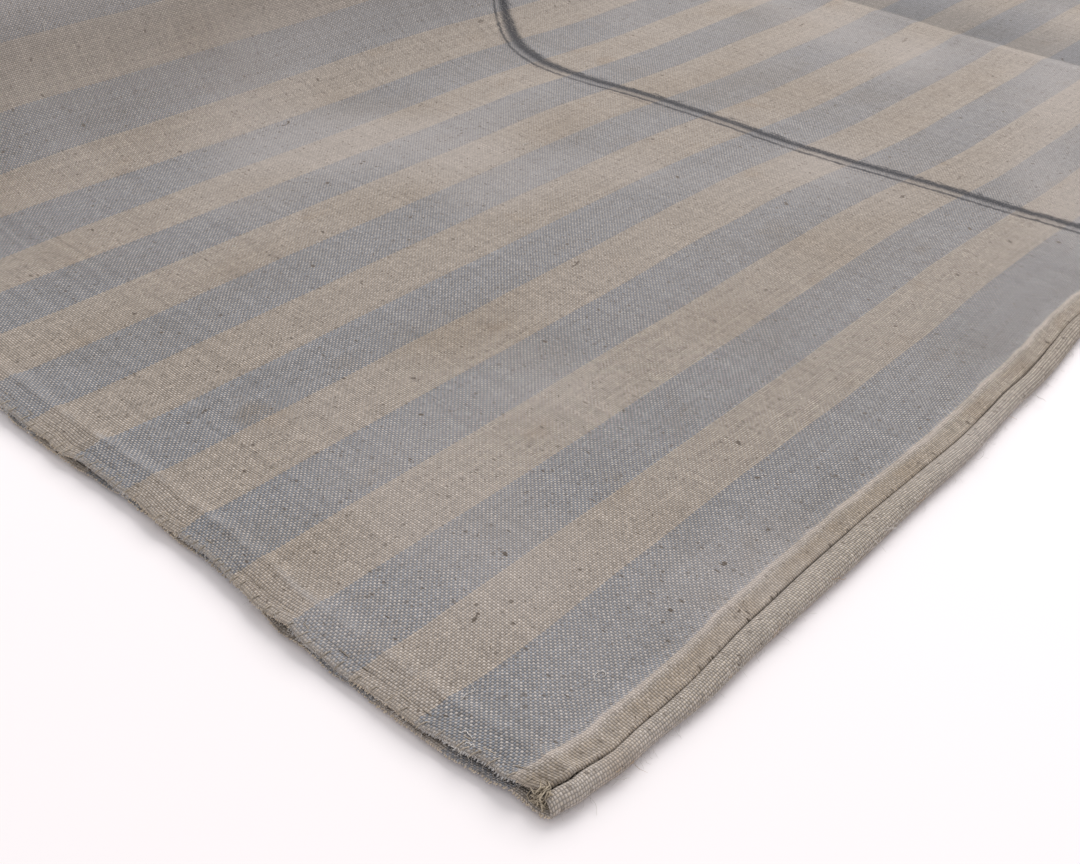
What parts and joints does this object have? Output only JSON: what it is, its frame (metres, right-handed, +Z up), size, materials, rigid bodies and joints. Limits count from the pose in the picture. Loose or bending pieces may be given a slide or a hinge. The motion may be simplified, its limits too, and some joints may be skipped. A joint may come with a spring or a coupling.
{
  "type": "mail sack",
  "caption": "Long striped linen sack lying on its back, sewn along both sides and the bottom, full along one side and open at a hemmed mouth with brass eyelets.",
  "frame": {"origin": "on the floor under the middle of the sack's bounding box", "axes": "+X to the right side seam, +Y from the bottom seam to the mouth, +Z up from the back panel to the front panel"},
  "size_m": [0.6811, 1.126, 0.1232],
  "materials": {
    "striped_linen": "woven, matt",
    "hem_linen": "woven, matt",
    "cotton_tape": "woven, matt",
    "linen_thread": "matt",
    "aged_brass": "aged satin"
  },
  "bodies": {
    "root": {"front_panel": "striped_linen", "back_panel": "striped_linen", "right_seam_thread": "linen_thread", "left_seam_thread": "linen_thread", "bottom_seam_thread": "linen_thread", "right_corner_knot": "linen_thread", "left_corner_knot": "linen_thread", "right_bartack": "linen_thread", "left_bartack": "linen_thread", "front_mouth_hem": "hem_linen", "front_mouth_tape": "cotton_tape", "front_hem_upper_stitching": "linen_thread", "front_hem_lower_stitching": "linen_thread", "front_eyelet_1": "aged_brass", "front_washer_1": "aged_brass", "front_eyelet_2": "aged_brass", "front_washer_2": "aged_brass", "front_eyelet_3": "aged_brass", "front_washer_3": "aged_brass", "back_mouth_hem": "hem_linen", "back_mouth_tape": "cotton_tape", "back_hem_upper_stitching": "linen_thread", "back_hem_lower_stitching": "linen_thread", "back_eyelet_1": "aged_brass", "back_washer_1": "aged_brass", "back_eyelet_2": "aged_brass", "back_washer_2": "aged_brass", "back_eyelet_3": "aged_brass", "back_washer_3": "aged_brass"}
  },
  "joints": []
}
